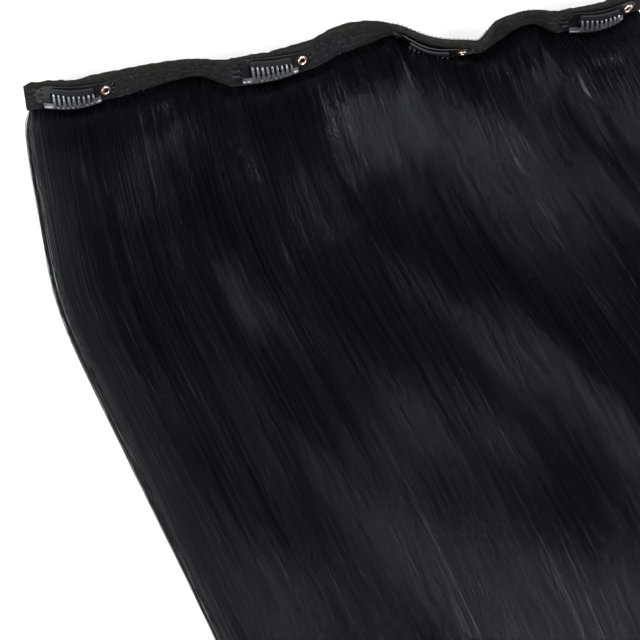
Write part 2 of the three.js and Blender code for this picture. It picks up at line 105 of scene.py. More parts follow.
# The band between its clips: share of the run, share of the wave, lean in degrees
BAND_BENDS = [
    (0.0, 0.0, 18), (0.19, 0.15, 11), (0.24, 0.31, 0), (0.282, 0.35, -6), (0.312, 0.06, 8),
    (0.505, 0.44, 23), (0.56, 0.66, 8), (0.76, 0.24, 4), (0.785, 0.5, -5), (0.822, 0.64, -12),
    (1.0, 0.7, -4),
]

# The band's section: share of its height, share of half its thickness
BAND_PROFILE = [(0, 0.6), (0.1, 1), (0.45, 0.85), (0.88, 1), (1, 0.5)]

# The hair from root to tip: share of its length, and the direction of its left and right edges
# in degrees
HAIR_FLOW = [
    (0.0, 0, 6), (0.06, 4, 14), (0.15, 4, 19), (0.22, 15, 19), (0.28, 18, 18), (0.45, 17.5, 13),
    (0.6, 16, 8), (0.75, 14, 4), (0.88, 12, 0), (1.0, 10, -3),
]

# Height of the laid hair from root to tip: share of its length, millimetres. It is full close to
# the band and falls away from there.
HAIR_HEIGHT = [
    (0.0, 9.4), (0.025, 9.8), (0.05, 9.3), (0.13, 6.7), (0.2, 6.3), (0.5, 8.2), (0.62, 7.2),
    (0.75, 5.4), (0.88, 3.6), (1.0, 1.6),
]

# Swells of the hair that catch the light: share across, distance from the band, half width,
# half length, height, and how far the swell slides across over its length
SWELLS = [
    (0.205, 9, 11, 12, 2.1, 2), (0.49, 16, 10, 20, 2.9, 4), (0.57, 22, 15, 28, 4.4, 8),
    (0.665, 18, 11, 22, 3.6, 6), (0.81, 10, 12, 14, 2.6, 4), (0.92, 16, 8, 16, 2.0, 5),
    (0.578, 7, 2.4, 15, 2.4, 5), (0.815, 7, 2.6, 14, 2.0, 3), (0.745, 10, 2.4, 14, 1.6, 3),
    (0.26, 92, 13, 30, 2.7, 8), (0.40, 150, 17, 36, 3.0, 10), (0.60, 140, 20, 36, 3.0, 12),
    (0.81, 66, 13, 26, 2.4, 6), (0.48, 100, 10, 24, 1.8, 6), (0.10, 190, 12, 40, 1.8, 10),
    (0.75, 200, 20, 40, 2.6, 12), (0.50, 250, 26, 44, 2.4, 14), (0.85, 300, 24, 50, 2.0, 10),
    (0.22, 290, 20, 46, 1.8, 12), (0.36, 360, 20, 50, 1.4, 10),
    # a hollow where the last clip's comb opens
    (0.925, 6.5, 26, 7, -4.6, 0),
]


# Small tools

def smooth(x, low, high):
    """0 below low, 1 above high, and an S between them."""
    t = np.clip((np.asarray(x, float) - low) / (high - low), 0, 1)
    return t * t * (3 - 2 * t)


def drift(u, v, seed):
    """Soft random relief from -1 to 1, with about one rise to a unit of u and of v."""
    grid = np.random.default_rng(seed).uniform(-1, 1, (97, 97))
    u, v = np.broadcast_arrays(np.asarray(u, float) % 97, np.asarray(v, float) % 97)
    i, j = u.astype(int), v.astype(int)
    a, b = smooth(u - i, 0, 1), smooth(v - j, 0, 1)
    i2, j2 = (i + 1) % 97, (j + 1) % 97
    low = grid[i, j] * (1 - a) + grid[i2, j] * a
    high = grid[i, j2] * (1 - a) + grid[i2, j2] * a
    return low * (1 - b) + high * b


def added(name, data):
    """A new object in the scene."""
    made = bpy.data.objects.new(name, data)
    bpy.context.scene.collection.objects.link(made)
    return made


def worked_out(holder):
    """The mesh that an object's curves or modifiers make."""
    seen = holder.evaluated_get(bpy.context.evaluated_depsgraph_get())
    return bpy.data.meshes.new_from_object(seen)


def join(mesh_points, faces, name, uv=None):
    """An object from points in millimetres of the row frame."""
    mesh = bpy.data.meshes.new(name)
    mesh.from_pydata((np.asarray(mesh_points) * 0.001).tolist(), [], faces)
    mesh.polygons.foreach_set("use_smooth", [True] * len(mesh.polygons))
    if uv is not None:
        layer = mesh.uv_layers.new(name="strand")
        corners = np.zeros(len(mesh.loops), int)
        mesh.loops.foreach_get("vertex_index", corners)
        layer.data.foreach_set("uv", np.asarray(uv, np.float32)[corners].ravel())
    mesh.update()
    return added(name, mesh)


def loft(rings, name, uv=None, closed=True):
    """A closed skin through rings of points; the ends are closed by a strip between ring halves."""
    rings = np.asarray(rings)
    count, size = rings.shape[:2]
    index = np.arange(count * size).reshape(count, size)
    if closed:
        index = np.hstack([index, index[:, :1]])
    quads = np.stack([index[:-1, :-1], index[:-1, 1:], index[1:, 1:], index[1:, :-1]], -1)
    faces = quads.reshape(-1, 4).tolist()
    if closed:
        end = (count - 1) * size
        i, j = 0, size - 1
        while j - i > 1:
            faces += [[i, j, i + 1], [end + i, end + i + 1, end + j]]
            if j - i > 2:
                faces += [[i + 1, j, j - 1], [end + i + 1, end + j - 1, end + j]]
            i, j = i + 1, j - 1
    made = join(rings.reshape(-1, 3), faces, name, uv)
    if closed:
        face_out(made.data)
    return made


def face_out(mesh, merge=0.0):
    work = bmesh.new()
    work.from_mesh(mesh)
    if merge:
        bmesh.ops.remove_doubles(work, verts=work.verts, dist=merge)
    bmesh.ops.recalc_face_normals(work, faces=work.faces)
    work.to_mesh(mesh)
    work.free()


# The band's path

def band_rows():
    rows = [
        [(run - 0.5) * BAND_RUN, back * BAND_WAVE, lean, None, None] for run, back, lean in BAND_BENDS
    ]
    for run, back, slope, lean, _ in CLIPS:
        angle = math.radians(slope)
        for end in (-CLIP_LENGTH / 2, CLIP_LENGTH / 2):
            x = (run - 0.5) * BAND_RUN + end * math.cos(angle)
            rows.append([x, back * BAND_WAVE + end * math.sin(angle), lean, math.tan(angle), 0.0])
    rows.sort(key=lambda row: row[0])
    for i, row in enumerate(rows):
        before, after = rows[max(i - 1, 0)], rows[min(i + 1, len(rows) - 1)]
        if row[3] is None:
            row[3] = (after[1] - before[1]) / (after[0] - before[0])
            row[4] = (after[2] - before[2]) / (after[0] - before[0])
    return np.array(rows, float)


BAND_ROWS = band_rows()


def bow_share(u):
    """How far a clip is bowed at u along it, as a share of its bow."""
    return np.maximum(0, 1 - ((np.asarray(u) - CLIP_LENGTH / 2) / BOW_REACH) ** 2) ** 2


def band_at(x):
    """The band's lower edge at each x: its foot, and along, behind, upward and outward of it."""
    x = np.asarray(x, float)
    after = np.clip(np.searchsorted(BAND_ROWS[:, 0], x, side="right"), 1, len(BAND_ROWS) - 1)
    a, b = BAND_ROWS[after - 1], BAND_ROWS[after]
    span = b[:, 0] - a[:, 0]
    t = (x - a[:, 0]) / span

    def cubic(value, slope):
        return (
            a[:, value] * (2 * t**3 - 3 * t**2 + 1)
            + a[:, slope] * span * (t**3 - 2 * t**2 + t)
            + b[:, value] * (3 * t**2 - 2 * t**3)
            + b[:, slope] * span * (t**3 - t**2)
        )

    steep = (
        (a[:, 1] - b[:, 1]) * (6 * t**2 - 6 * t) / span
        + a[:, 3] * (3 * t**2 - 4 * t + 1)
        + b[:, 3] * (3 * t**2 - 2 * t)
    )
    lean = np.radians(cubic(2, 4))[:, None]
    zero = np.zeros_like(x)
    along = np.stack([np.ones_like(x), steep, zero], -1)
    along /= np.linalg.norm(along, axis=1, keepdims=True)
    behind = np.stack([-along[:, 1], along[:, 0], zero], -1)
    high = np.array([0.0, 0.0, 1.0])
    upward = high * np.cos(lean) + behind * np.sin(lean)
    outward = high * np.sin(lean) - behind * np.cos(lean)
    foot = np.stack([x, cubic(1, 3), zero + BAND_FOOT], -1)
    for run, _, slope, _, bow in CLIPS:
        u = CLIP_LENGTH / 2 + (x - (run - 0.5) * BAND_RUN) / math.cos(math.radians(slope))
        foot = foot + outward * (bow * BAND_GIVE * bow_share(u))[:, None]
    return foot, along, behind, upward, outward


def clip_frame(number):
    """The clip's own frame: along it, across it from its teeth, and out of the band."""
    run = CLIPS[number - 1][0]
    foot, along, _, upward, outward = (axis[0] for axis in band_at([(run - 0.5) * BAND_RUN]))
    origin = foot - along * CLIP_LENGTH / 2 + upward * CLIP_RISE + outward * BAND_THICKNESS / 2
    made = Matrix([[*row] for row in np.stack([along, upward, outward], -1)]).to_4x4()
    made.translation = Vector(origin)
    return made


def bowed(number, u):
    """How far out of the plane that touches the band at its middle the clip stands at u."""
    return CLIPS[number - 1][4] * (bow_share(u) - BAND_GIVE)


def centring():
    """How far the solids were moved in plan after they were made, as a rivet shows."""
    points = []
    for turn in range(12):
        for radius, w in ((1.3, FRAME_BACK), (2.15, COMB_BACK - 0.1), (2.15, COMB_BACK + 0.15)):
            u = RIVET_U + radius * math.cos(turn * math.pi / 6)
            v = RIVET_V + radius * math.sin(turn * math.pi / 6)
            # the solid's sheet is straight over its round tip
            tip = np.array([TIP_STRAIGHT, CLIP_LENGTH])
            out = np.interp(u, tip, bowed(1, tip))
            points.append(clip_frame(1) @ Vector((u, v, w + out)))
    points = np.array(points)
    here = (points.min(axis=0) + points.max(axis=0)) / 2
    low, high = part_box("clip_1_rivet")
    there = np.array((low + high) * 500)
    return np.array([there[0] - here[0], there[1] - here[1], 0.0])


SHIFT = centring()


# Node trees

def arithmetic(operation, turned=False):
    """A method of Link that adds a Math node."""

    def work(self, *others):
        values = (*others, self) if turned else (self, *others)
        return self.maker.node("ShaderNodeMath", {"operation": operation}, dict(enumerate(values)))

    return work


class Link:
    """One output of a node."""

    def __init__(self, maker, socket):
        self.maker = maker
        self.socket = socket

    __add__ = __radd__ = arithmetic("ADD")
    __sub__ = arithmetic("SUBTRACT")
    __rsub__ = arithmetic("SUBTRACT", turned=True)
    __mul__ = __rmul__ = arithmetic("MULTIPLY")
    __truediv__ = arithmetic("DIVIDE")
    __pow__ = arithmetic("POWER")
    sine = arithmetic("SINE")
    floor = arithmetic("FLOOR")
    least = arithmetic("MINIMUM")
    most = arithmetic("MAXIMUM")

    def out(self, name):
        return Link(self.maker, self.socket.node.outputs[name])

    def eased(self, low, high):
        """0 below low, 1 above high, with a soft start and end."""
        return self.maker.node(
            "ShaderNodeMapRange",
            {"interpolation_type": "SMOOTHSTEP"},
            {"Value": self, "From Min": low, "From Max": high},
        )


def open_socket(sockets, name):
    """The socket of that name or number that the node's settings leave in use."""
    if isinstance(name, int):
        return sockets[name]
    return next(s for s in sockets if s.name == name and s.enabled)


class Maker:
    """Adds nodes to one tree."""

    def __init__(self, tree):
        self.tree = tree

    def node(self, kind, settings=None, values=None):
        made = self.tree.nodes.new(kind)
        for name, setting in (settings or {}).items():
            if name == "stops":
                ramp = made.color_ramp.elements
                while len(ramp) < len(setting):
                    ramp.new(0.5)
                for stop, (place, colour) in zip(ramp, setting):
                    stop.position = place
                    stop.color = colour
            else:
                setattr(made, name, setting)
        for name, value in (values or {}).items():
            socket = open_socket(made.inputs, name)
            if isinstance(value, Link):
                self.tree.links.new(value.socket, socket)
            else:
                socket.default_value = value
        shown = [s for s in made.outputs if s.enabled]
        return Link(self, shown[0]) if shown else None

    def place(self, x=0.0, y=0.0, z=0.0):
        return self.node("ShaderNodeCombineXYZ", None, {"X": x, "Y": y, "Z": z})

    def split(self, vector):
        """Its x; the others by name from out."""
        return self.node("ShaderNodeSeparateXYZ", None, {"Vector": vector})

    def noise(self, where, scale, detail=2.0, roughness=0.5):
        values = {"Vector": where, "Scale": scale, "Detail": detail, "Roughness": roughness}
        return self.node("ShaderNodeTexNoise", None, values)

    def vector(self, operation, **values):
        return self.node("ShaderNodeVectorMath", {"operation": operation}, values)

    def line(self, points, end):
        """A straight curve of so many points."""
        line = self.node("GeometryNodeCurvePrimitiveLine", None, {"End": end})
        return self.node("GeometryNodeResampleCurve", None, {"Curve": line, "Count": points})

    def chance(self, low, high, seed, kind="FLOAT", **more):
        values = {"Min": low, "Max": high, "Seed": seed} | more
        return self.node("FunctionNodeRandomValue", {"data_type": kind}, values)

    def copies(self, curve, count):
        values = {"Geometry": curve, "Amount": count}
        return self.node("GeometryNodeDuplicateElements", {"domain": "SPLINE"}, values)

    def moved(self, geometry, **where):
        return self.node("GeometryNodeSetPosition", None, {"Geometry": geometry} | where)

    def stored(self, name):
        settings = {"data_type": "FLOAT_VECTOR"}
        return self.node("GeometryNodeInputNamedAttribute", settings, {"Name": name})


def emptied(owner):
    """A Maker for the owner's node tree, once nothing is in it."""
    owner.use_nodes = True
    owner.node_tree.nodes.clear()
    return Maker(owner.node_tree)


# Materials

def finish_of(name, build, **constant):
    """A material; build gets a Maker and returns the inputs that vary over the surface."""
    made = bpy.data.materials.new(name)
    maker = emptied(made)
    values = {key.replace("_", " "): value for key, value in constant.items()}
    values |= build(maker)
    shader = maker.node("ShaderNodeBsdfPrincipled", None, values)
    maker.node("ShaderNodeOutputMaterial", None, {"Surface": shader})
    return made


def mixed(maker, share, first, second):
    """From the first colour to the second."""
    values = {"Factor": share, "A": first, "B": second}
    return maker.node("ShaderNodeMix", {"data_type": "RGBA"}, values)


def raised(maker, height, distance):
    values = {"Height": height, "Distance": distance, "Strength": 1.0}
    return maker.node("ShaderNodeBump", None, values)


HAIR_BLACK = (0.0026, 0.0023, 0.0027, 1)
HAIR_GREY = (0.0056, 0.0051, 0.006, 1)
HAIR_SHINE = {"Specular_IOR_Level": 0.3, "Specular_Tint": (0.86, 0.87, 1.0, 1)}


def laid_uv(maker):
    """The two shares or lengths that a mesh's own map holds."""
    parts = maker.split(maker.node("ShaderNodeUVMap", {"uv_map": "strand"}))
    return parts, parts.out("Y")


def strand_look(maker):
    tone = maker.node("ShaderNodeAttribute", {"attribute_name": "tone"}).out("Fac")
    return {
        "Base Color": mixed(maker, tone, HAIR_BLACK, HAIR_GREY),
        "Roughness": 0.13 + tone * 0.14,
    }


def body_look(maker):
    across, down = laid_uv(maker)
    fine = maker.noise(maker.place(across * 900, down * 14), 1.0, 3.0, 0.6)
    broad = maker.noise(maker.place(across * 160, down * 7), 1.0, 2.0)
    inner = across.least(1 - across).eased(0.0, 0.05)
    return {
        "Base Color": mixed(maker, fine, HAIR_BLACK, HAIR_GREY),
        "Roughness": 0.58 + broad * 0.12 - inner * 0.4,
        "Normal": raised(maker, fine + broad * 0.6, 0.0004),
    }


hair_strand = finish_of("black_hair", strand_look, **HAIR_SHINE)
hair_mass = finish_of("black_hair_mass", body_look, **HAIR_SHINE)


def cloth_look(maker):
    along, up = laid_uv(maker)
    wander = maker.noise(maker.place(along * 90, up * 90), 1.0, 2.0)
    # the warp and weft of the tape, in a pitch of about half a millimetre
    warp = (along * (2 * math.pi * 1900) + wander * 5).sine()
    weft = (up * (2 * math.pi * 2300) + wander * 5).sine()
    weave = warp * weft * 0.5 + 0.5
    worn = maker.noise(maker.place(along * 420, up * 800), 1.0, 4.0, 0.65)
    shade = worn.eased(0.4, 0.75) * 0.75 + weave * 0.25
    hem = up.eased(0.0095, 0.0125)
    cloth = mixed(maker, shade, (0.006, 0.0059, 0.0068, 1), (0.023, 0.0226, 0.0245, 1))
    binding = mixed(maker, shade, (0.008, 0.008, 0.0068, 1), (0.028, 0.0278, 0.023, 1))
    return {
        "Base Color": mixed(maker, hem, cloth, binding),
        "Roughness": 0.7 + weave * 0.16,
        "Normal": raised(maker, weave * 0.6 + worn * 1.6, 0.0003),
    }


band_cloth = finish_of(
    "black_tape", cloth_look,
    Sheen_Weight=0.03, Sheen_Roughness=0.45, Sheen_Tint=(0.8, 0.8, 0.76, 1), Specular_IOR_Level=0.1,
)


def patched(name, patch, spread, grain, rough, wear_and_glint_metal, depth, colours, **constant):
    """A material in patches of two colours, metal where lighter (wear on frames, painted highlight on
    combs), with a fine grain.
    Patch and grain are the scale, detail and roughness of their noise."""

    def look(maker):
        where = maker.node("ShaderNodeTexCoord").out("Object")
        tone = maker.noise(where, *patch)
        fine = maker.noise(where, *grain)
        share = tone.eased(*spread) if spread else tone
        least, more = rough
        varied = {
            "Base Color": mixed(maker, share, *colours),
            "Roughness": least + (fine if wear_and_glint_metal else tone) * more,
            "Normal": raised(maker, fine, depth),
        }
        if wear_and_glint_metal:
            varied["Metallic"] = share * wear_and_glint_metal
        return varied

    return finish_of(name, look, **constant)


black_thread = patched(
    "black_thread", (420.0, 2.0), (0.35, 0.65), (5200.0, 1.0), (0.5, 0.2), 0, 0.00006,
    ((0.006, 0.006, 0.0065, 1), (0.05, 0.05, 0.054, 1)), Specular_IOR_Level=0.2,
)
black_enamel = patched(
    "black_enamel", (260.0, 3.0, 0.6), (0.62, 0.75), (900.0, 4.0, 0.7), (0.2, 0.22), 0.6, 0.00003,
    ((0.006, 0.006, 0.0065, 1), (0.055, 0.05, 0.046, 1)), Specular_IOR_Level=0.35,
)
# the combs' black enamel has grey metal patches that stand in for glints on the teeth: painted highlight
comb_enamel_painted_glints = patched(
    "comb_enamel_painted_glints", (800.0, 3.0, 0.6), (0.34, 0.56), (1100.0, 4.0, 0.7), (0.24, 0.2), 0.85, 0.00003,
    ((0.012, 0.012, 0.013, 1), (0.28, 0.28, 0.29, 1)), Specular_IOR_Level=0.6,
)
eyelet_metal = patched(
    "eyelet_metal", (1300.0, 3.0, 0.6), None, (5200.0, 2.0), (0.22, 0.2), 0, 0.00002,
    ((0.80, 0.64, 0.58, 1), (0.62, 0.52, 0.48, 1)), Metallic=1.0,
)
# grey silicone pads, their colour darkened nearly to black: painted shade for where they lie under the
# teeth
pad_silicone_painted_shade = patched(
    "grey_silicone_painted_shade", (500.0, 2.0), None, (500.0, 2.0), (0.3, 0.16), 0, 0.00008,
    ((0.010, 0.010, 0.011, 1), (0.02, 0.02, 0.022, 1)), Specular_IOR_Level=0.2,
)


def floor_look(maker):
    where = maker.node("ShaderNodeTexCoord").out("Object")
    grain = maker.noise(where, 3.0, 2.0)
    return {"Base Color": mixed(maker, grain, (0.97, 0.97, 0.97, 1), (0.98, 0.98, 0.98, 1))}


paper_floor = finish_of("paper_white", floor_look, Roughness=0.9, Specular_IOR_Level=0.1)


# Geometry trees

def geometry_tree(name, whole, real):
    """A tree with a material, whole numbers and real numbers for inputs; gives its Maker and
    its inputs by name."""
    tree = bpy.data.node_groups.new(name, "GeometryNodeTree")
    tree.interface.new_socket("Geometry", in_out="INPUT", socket_type="NodeSocketGeometry")
    tree.interface.new_socket("Geometry", in_out="OUTPUT", socket_type="NodeSocketGeometry")
    labels = ["Geometry"]
    for kind, names in (("Material", "Material"), ("Int", whole), ("Float", real)):
        for label in names.split(", "):
            tree.interface.new_socket(label, in_out="INPUT", socket_type=f"NodeSocket{kind}")
            labels.append(label)
    maker = Maker(tree)
    given = maker.node("NodeGroupInput")
    return maker, {label: given.out(label) for label in labels}


def tube(maker, given, curve, profile, scale):
    """Ends a tree: the curve as a smooth closed tube, of the given material."""
    values = {"Curve": curve, "Profile Curve": profile, "Scale": scale, "Fill Caps": True}
    made = maker.node("GeometryNodeCurveToMesh", None, values)
    made = maker.node("GeometryNodeSetShadeSmooth", None, {"Geometry": made})
    made = maker.node("GeometryNodeRealizeInstances", None, {"Geometry": made})
    values = {"Geometry": made, "Material": given["Material"]}
    made = maker.node("GeometryNodeSetMaterial", None, values)
    maker.node("NodeGroupOutput", None, {"Geometry": made})
    return maker.tree


def round_profile(maker, sides):
    return maker.node("GeometryNodeCurvePrimitiveCircle", None, {"Resolution": sides, "Radius": 1.0})


def grown(name, carrier, tree, values):
    """The carrier's tree worked out with these inputs, as a plain mesh object."""
    modifier = carrier.modifiers.new("work", "NODES")
    modifier.node_group = tree
    for socket in tree.interface.items_tree:
        if socket.in_out == "INPUT" and socket.name in values:
            modifier[socket.identifier] = values[socket.name]
    mesh = worked_out(carrier)
    carrier.modifiers.remove(modifier)
    mesh.name = name
    return added(name, mesh)


def strand_tree():
    """Strands that follow a laid surface from its root to its tip, in and out of each other."""
    maker, given = geometry_tree(
        "laid_strands", "Count, Points, Seed",
        "First, Last, Late, Shortest, Reach, Thickness, Sunk, Proud, Stray, Clump, Slant, Gather, Gathered",
    )
    many = maker.copies(maker.line(given["Points"], (1, 0, 0)), given["Count"])
    strand = many.out("Duplicate Index")

    def chance(low, high, salt):
        return maker.chance(low, high, given["Seed"] + salt, ID=strand)

    walked = maker.node("GeometryNodeSplineParameter")
    start = chance(given["Late"] * -1, given["Late"], 1).most(0.0)
    share = chance(given["First"], given["Last"], 2)
    lock = (share * LOCK_COUNT).floor()
    by_lock = maker.node("ShaderNodeTexWhiteNoise", {"noise_dimensions": "1D"}, {"W": lock}).out("Value")
    reach = chance(given["Shortest"], 1.0, 3) * (0.93 + by_lock * 0.07) * given["Reach"]
    down = start + (reach - start) * walked**1.25
    # whole wisps drift together, and each strand strays a little by itself
    wisp = maker.noise(maker.place(share * 34, down * 3.2), 1.0, 2.0) - 0.5
    alone = maker.noise(maker.place(strand * 17.31, down * 3.6), 1.0, 1.0) - 0.5
    free = down.eased(0.0, 0.12)
    inner = share.least(1 - share).eased(0.0, 0.07)
    middle = (lock + 0.5) / LOCK_COUNT
    drawn = down.eased(0.55, 1.0) * given["Clump"]
    across = share + (middle - share) * drawn
    across = across + (wisp * inner * 0.022 + alone * given["Stray"]) * free
    # some lie aslant over the others, and some fan out from one place under the band
    across = across + given["Slant"] * down.eased(0.0, 0.34) * share.least(1 - share).eased(0.0, 0.2)
    across = across + (given["Gather"] - share) * given["Gathered"] * (1 - down.eased(0.0, 0.13))
    spot = maker.node(
        "GeometryNodeSampleUVSurface",
        {"data_type": "FLOAT_VECTOR"},
        {
            "Mesh": given["Geometry"],
            "Value": maker.node("GeometryNodeInputPosition"),
            "UV Map": maker.stored("strand"),
            "Sample UV": maker.place((across + 0.02) / 1.04, down),
        },
    )
    # neighbours rise and fall together, in streaks about a millimetre wide
    swell = maker.noise(maker.place(share * 150, down * 12.0), 1.0, 1.0)
    lift = given["Sunk"] + (given["Proud"] - given["Sunk"]) * chance(0.0, 1.0, 4) * swell * 2
    buried = (walked.eased(0.0, 0.1) - 1) * start.least(0.05) * 0.02
    there = maker.split(spot)
    high = there.out("Z") + lift * down.eased(0.0, 0.05) + buried
    laid = maker.moved(many, Position=maker.place(there, there.out("Y"), high.most(0.00015)))
    # the outer strands are duller
    streak = maker.noise(maker.place(share * 210, down * 2.0), 1.0, 1.0).eased(0.35, 0.65)
    outer = 1 - share.least(1 - share).eased(0.0, 0.09)
    tone = streak * 0.6 + chance(0.0, 0.4, 5) + outer * 1.6
    laid = maker.node(
        "GeometryNodeStoreNamedAttribute",
        {"data_type": "FLOAT", "domain": "POINT"},
        {"Geometry": laid, "Name": "tone", "Value": tone},
    )
    fine = given["Thickness"] * 0.5 * ((1 - walked) * 6 + 0.2).least(1.0)
    return tube(maker, given, laid, round_profile(maker, 3), fine * chance(0.7, 1.15, 6))


def stitch_tree():
    """A short arc of thread along each edge of the carrier, bulging the way its point faces."""
    maker, given = geometry_tree("stitches", "Points, Sides", "Thickness, Bulge")
    line = maker.node("GeometryNodeMeshToCurve", None, {"Mesh": given["Geometry"]})
    line = maker.node("GeometryNodeResampleCurve", None, {"Curve": line, "Count": given["Points"]})
    walked = maker.node("GeometryNodeSplineParameter")
    bow = (walked * math.pi).sine()
    push = maker.vector("SCALE", Vector=maker.stored("face"), Scale=bow * given["Bulge"])
    line = maker.moved(line, Offset=push)
    profile = round_profile(maker, given["Sides"])
    return tube(maker, given, line, profile, given["Thickness"] * 0.5 * (0.65 + bow * 0.35))


def tooth_tree():
    """The teeth of a comb, in the clip's own frame: each rises, arches over and comes down."""
    maker, given = geometry_tree(
        "comb_teeth", "Teeth", "First, Pitch, Width, Sheet, Foot, Top, Landing, Reach, Last Reach"
    )
    many = maker.copies(maker.line(14, (1, 0, 0)), given["Teeth"])
    tooth = many.out("Duplicate Index")
    t = maker.node("GeometryNodeSplineParameter")
    rest = 1 - t
    early = t * rest**2 * 3
    late = t**2 * rest * 3
    last = t**3
    reach = given["Reach"] + (given["Last Reach"] - given["Reach"]) * tooth / (given["Teeth"] - 1)
    u = given["First"] + tooth * given["Pitch"]
    v = rest**3 * 0.3 - early * 0.15 + late * reach * 0.95 + last * reach
    w = rest**3 * given["Foot"] + (early + late) * (given["Top"] + 0.45) + last * given["Landing"]
    laid = maker.node(
        "GeometryNodeSetCurveNormal",
        {"mode": "FREE"},
        {"Curve": maker.moved(many, Position=maker.place(u, v, w)), "Normal": (1, 0, 0)},
    )
    profile = maker.node(
        "GeometryNodeCurvePrimitiveQuadrilateral",
        None,
        {"Width": given["Width"], "Height": given["Sheet"]},
    )
    profile = maker.node(
        "GeometryNodeFilletCurve", {"mode": "POLY"}, {"Curve": profile, "Count": 2, "Radius": 0.17}
    )
    return tube(maker, given, laid, profile, 1 - t**4 * 0.42)


def fibre_tree():
    """Short fine fibres that stand out of the carrier's faces and curl over."""
    maker, given = geometry_tree("fibres", "Seed", "Density, Length, Thickness, Curl")
    points = maker.node(
        "GeometryNodeDistributePointsOnFaces",
        None,
        {"Mesh": given["Geometry"], "Density": given["Density"], "Seed": given["Seed"]},
    )
    line = maker.line(5, (0, 0, 1))
    size = maker.chance(0.25, 1.0, given["Seed"] + 1) * given["Length"]
    tilt = maker.chance((-0.9, -0.9, -3), (0.9, 0.9, 3), given["Seed"] + 2, "FLOAT_VECTOR")
    turned = maker.node(
        "FunctionNodeRotateRotation",
        {"rotation_space": "LOCAL"},
        {"Rotation": points.out("Rotation"), "Rotate By": tilt},
    )
    stood = maker.node(
        "GeometryNodeInstanceOnPoints",
        None,
        {"Points": points, "Instance": line, "Rotation": turned, "Scale": maker.place(size, size, size)},
    )
    stood = maker.node("GeometryNodeRealizeInstances", None, {"Geometry": stood})
    walked = maker.node("GeometryNodeSplineParameter")
    swing = maker.node("ShaderNodeTexNoise", None, {"Scale": 900.0, "Detail": 1.0}).out("Color")
    # half of the noise's range is taken off, and a little more so that they curl over
    centred = maker.node(
        "ShaderNodeVectorMath", {"operation": "SUBTRACT"}, {0: swing, 1: (0.5, 0.5, 0.55)}
    )
    push = maker.vector("SCALE", Vector=centred, Scale=walked**2 * given["Curl"])
    stood = maker.moved(stood, Offset=push)
    fine = given["Thickness"] * 0.5 * (1.05 - walked)
    return tube(maker, given, stood, round_profile(maker, 3), fine)


STRANDS = strand_tree()
STITCHES = stitch_tree()
COMB_TEETH = tooth_tree()
FIBRES = fibre_tree()


def sewn(name, starts, ends, faces, points, sides, thickness, bulge, material=black_thread):
    """Stitches from starts to ends, in millimetres, bulging towards faces."""
    count = len(starts)
    ways = np.stack([starts, ends], 1).reshape(-1, 3)
    mesh = bpy.data.meshes.new(name)
    edges = [[2 * i, 2 * i + 1] for i in range(count)]
    mesh.from_pydata((ways * 0.001).tolist(), edges, [])
    facing = mesh.attributes.new("face", "FLOAT_VECTOR", "POINT")
    facing.data.foreach_set("vector", np.repeat(faces, 2, axis=0).astype(np.float32).ravel())
    carrier = added("carrier", mesh)
    values = {
        "Material": material, "Points": points, "Sides": sides,
        "Thickness": thickness * 0.001, "Bulge": bulge * 0.001,
    }
    made = grown(name, carrier, STITCHES, values)
    bpy.data.objects.remove(carrier)
    return made


# Camera: the photograph looks down at about 62 degrees, turned a little to the left.

def place_camera():
    azimuth, elevation, roll = (math.radians(a) for a in (-5.0, 61.5, -3.1))
    back = Vector((
        math.sin(azimuth) * math.cos(elevation),
        -math.cos(azimuth) * math.cos(elevation),
        math.sin(elevation),
    ))
    side = Vector((math.cos(azimuth), math.sin(azimuth), 0))
    up = back.cross(side)
    right = side * math.cos(roll) + up * math.sin(roll)
    top = up * math.cos(roll) - side * math.sin(roll)
    lens = bpy.data.cameras.new("camera")
    lens.sensor_width = 36
    lens.lens = 143.9
    lens.clip_start = 0.05
    camera = added("camera", lens)
    turn = Matrix((right, top, back)).transposed().to_4x4()
    turn.translation = Vector((-0.0616, 0.1024, 0)) + back * 1.0
    camera.matrix_world = turn
    bpy.context.scene.camera = camera


def soft_light(name, place, aim, width, height, power):
    lamp = bpy.data.lights.new(name, "AREA")
    lamp.shape = "RECTANGLE"
    lamp.size = width
    lamp.size_y = height
    lamp.energy = power
    made = added(name, lamp)
    made.location = place
    made.rotation_euler = (Vector(place) - Vector(aim)).to_track_quat("Z", "Y").to_euler()


def place_lights():
    soft_light("key", (0.1, 0.9, 3.9), (0, 0.1, 0), 3.6, 0.44, 145)
    soft_light("front left", (-1.6, -1.7, 1.7), (0, 0, 0), 1.2, 1.2, 70)
    soft_light("front right", (1.7, -1.6, 1.7), (0, 0, 0), 1.2, 1.2, 70)
    world = bpy.data.worlds.new("room")
    maker = emptied(world)
    # a pale room at the height of the horizon, dim overhead
    facing = maker.split(maker.node("ShaderNodeTexCoord"))
    bright = 0.6 - facing.out("Z").eased(0.02, 0.3) * 0.5
    values = {"Color": (0.96, 0.97, 1.0, 1), "Strength": bright}
    sky = maker.node("ShaderNodeBackground", None, values)
    maker.node("ShaderNodeOutputWorld", None, {"Surface": sky})
    bpy.context.scene.world = world
    bpy.context.scene.view_settings.view_transform = "Standard"


def lay_floor():
    size = 4000
    corners = [(-size, -size, -0.2), (size, -size, -0.2), (size, size, -0.2), (-size, size, -0.2)]
    made = join(corners, [[0, 1, 2, 3]], "floor")
    made.data.materials.append(paper_floor)


# The hair

FLOW = np.array(HAIR_FLOW, float)
STEPS = 96
FLOW_STEP = HAIR_LENGTH / STEPS


